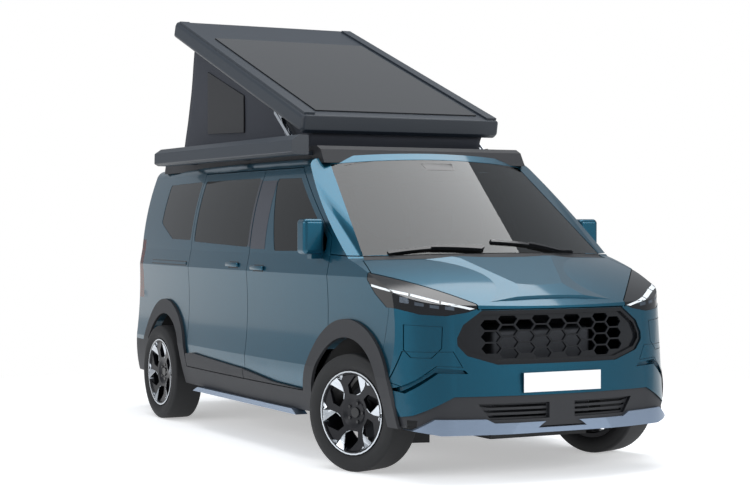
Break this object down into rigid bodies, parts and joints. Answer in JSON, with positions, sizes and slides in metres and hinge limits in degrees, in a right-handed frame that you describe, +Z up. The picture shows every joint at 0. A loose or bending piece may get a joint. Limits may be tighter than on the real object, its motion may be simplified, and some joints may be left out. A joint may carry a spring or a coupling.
{
  "type": "camper van with pop-up roof",
  "caption": "Camper van with a pop-up sleeping roof, side awning, hinged doors, bonnet and tailgate, steering and rolling wheels.",
  "frame": {"origin": "on the ground, under the middle of the van's box", "axes": "+Z up, nose towards -Y, the van's right-hand side towards -X"},
  "size_m": [2.153, 4.9, 2.9968],
  "materials": {
    "body_paint": "metallic teal-blue paint under clear lacquer",
    "black_plastic": "grained charcoal plastic",
    "glass": "tinted safety glass",
    "lamp_lens": "clear lens over dark reflector bowls",
    "red_lens": "red lens",
    "silver_trim": "satin silver paint",
    "solar_cells": "laminated dark cells",
    "bright_steel": "bright zinc plate",
    "tent_cloth": "coated tent cloth",
    "awning_case": "anthracite powder coat",
    "cabin_plastic": "grained soft-touch plastic",
    "upholstery": "woven grey seat cloth",
    "cabinet_board": "laminated light board",
    "cast_metal": "rough cast",
    "chassis_steel": "black chassis coat",
    "tyre_rubber": "rubber tread",
    "wheel_alloy": "black enamel with machined faces"
  },
  "bodies": {
    "root": {"floor_pan": "chassis_steel", "side_wall_right": "body_paint", "side_wall_left": "body_paint", "sliding_door": "body_paint", "fenders": "body_paint", "cowl": "black_plastic", "roof": "body_paint", "roof_frame": "black_plastic", "windscreen": "glass", "side_glass": "glass", "front_bumper": "body_paint", "grille": "black_plastic", "lower_grille": "black_plastic", "headlamps": "lamp_lens", "skid_trims": "silver_trim", "rear_bumper": "black_plastic", "tail_lamps": "red_lens", "cladding": "black_plastic", "canvas": "tent_cloth", "awning": "awning_case", "dashboard": "cabin_plastic", "front_seats": "upholstery", "rear_bench": "upholstery", "kitchen_unit": "cabinet_board", "engine": "cast_metal", "front_subframe": "chassis_steel", "rear_axle": "chassis_steel", "fuel_tank": "chassis_steel", "exhaust": "chassis_steel"},
    "pop_up_roof": {"roof_panel": "black_plastic", "solar_panel": "solar_cells"},
    "roof_links": {"roof_links": "bright_steel"},
    "bonnet": {"bonnet": "body_paint"},
    "tailgate": {"tailgate": "body_paint", "tailgate_glass": "glass"},
    "door_right": {"front_door_right": "body_paint", "door_glass_right": "glass", "door_cladding_right": "black_plastic", "door_mirror_right": "body_paint"},
    "door_left": {"front_door_left": "body_paint", "door_glass_left": "glass", "door_cladding_left": "black_plastic", "door_mirror_left": "body_paint"},
    "knuckle_right": {"knuckle_right": "cast_metal"},
    "knuckle_left": {"knuckle_left": "cast_metal"},
    "wheel_front_right": {"tyre_front_right": "tyre_rubber", "rim_front_right": "wheel_alloy"},
    "wheel_front_left": {"tyre_front_left": "tyre_rubber", "rim_front_left": "wheel_alloy"},
    "wheel_rear_right": {"tyre_rear_right": "tyre_rubber", "rim_rear_right": "wheel_alloy"},
    "wheel_rear_left": {"tyre_rear_left": "tyre_rubber", "rim_rear_left": "wheel_alloy"}
  },
  "joints": [
    {"name": "steer_right", "type": "hinge", "parent": "root", "child": "knuckle_right", "pos_m": [-0.77, -1.6, 0.346], "axis": [0, 0, 1], "range_deg": [-55, 15]},
    {"name": "spin_front_right", "type": "hinge", "parent": "knuckle_right", "child": "wheel_front_right", "pos_m": [-0.86209, -1.63352, 0.346], "axis": [0.9397, 0.342, 0], "continuous": true},
    {"name": "spin_rear_right", "type": "hinge", "parent": "root", "child": "wheel_rear_right", "pos_m": [-0.868, 1.5, 0.346], "axis": [1, 0, 0], "continuous": true},
    {"name": "steer_left", "type": "hinge", "parent": "root", "child": "knuckle_left", "pos_m": [0.77, -1.6, 0.346], "axis": [0, 0, 1], "range_deg": [-55, 15]},
    {"name": "spin_front_left", "type": "hinge", "parent": "knuckle_left", "child": "wheel_front_left", "pos_m": [0.86209, -1.56648, 0.346], "axis": [0.9397, 0.342, 0], "continuous": true},
    {"name": "spin_rear_left", "type": "hinge", "parent": "root", "child": "wheel_rear_left", "pos_m": [0.868, 1.5, 0.346], "axis": [1, 0, 0], "continuous": true},
    {"name": "front_door_right", "type": "hinge", "parent": "root", "child": "door_right", "pos_m": [-0.957, -1.335, 0.9], "axis": [0, 0, 1], "range_deg": [0, 70]},
    {"name": "front_door_left", "type": "hinge", "parent": "root", "child": "door_left", "pos_m": [0.957, -1.335, 0.9], "axis": [0, 0, -1], "range_deg": [0, 70]},
    {"name": "tailgate_lift", "type": "hinge", "parent": "root", "child": "tailgate", "pos_m": [0, 2.305, 1.791], "axis": [1, 0, 0], "range_deg": [0, 85]},
    {"name": "bonnet_lift", "type": "hinge", "parent": "root", "child": "bonnet", "pos_m": [0, -1.648, 1.262], "axis": [-1, 0, 0], "range_deg": [0, 55]},
    {"name": "roof_lift", "type": "hinge", "parent": "root", "child": "pop_up_roof", "pos_m": [0, -0.659, 1.859], "axis": [1, 0, 0], "range_deg": [-20.1, 0], "deforming": ["canvas"]},
    {"name": "link_fold", "type": "hinge", "parent": "root", "child": "roof_links", "pos_m": [0, -0.378, 1.957], "axis": [1, 0, 0], "range_deg": [-35, 0]}
  ],
  "couplings": [
    {"joint": "steer_left", "follows": "steer_right", "ratio": 1},
    {"joint": "link_fold", "follows": "roof_lift", "ratio": 1.7275}
  ]
}
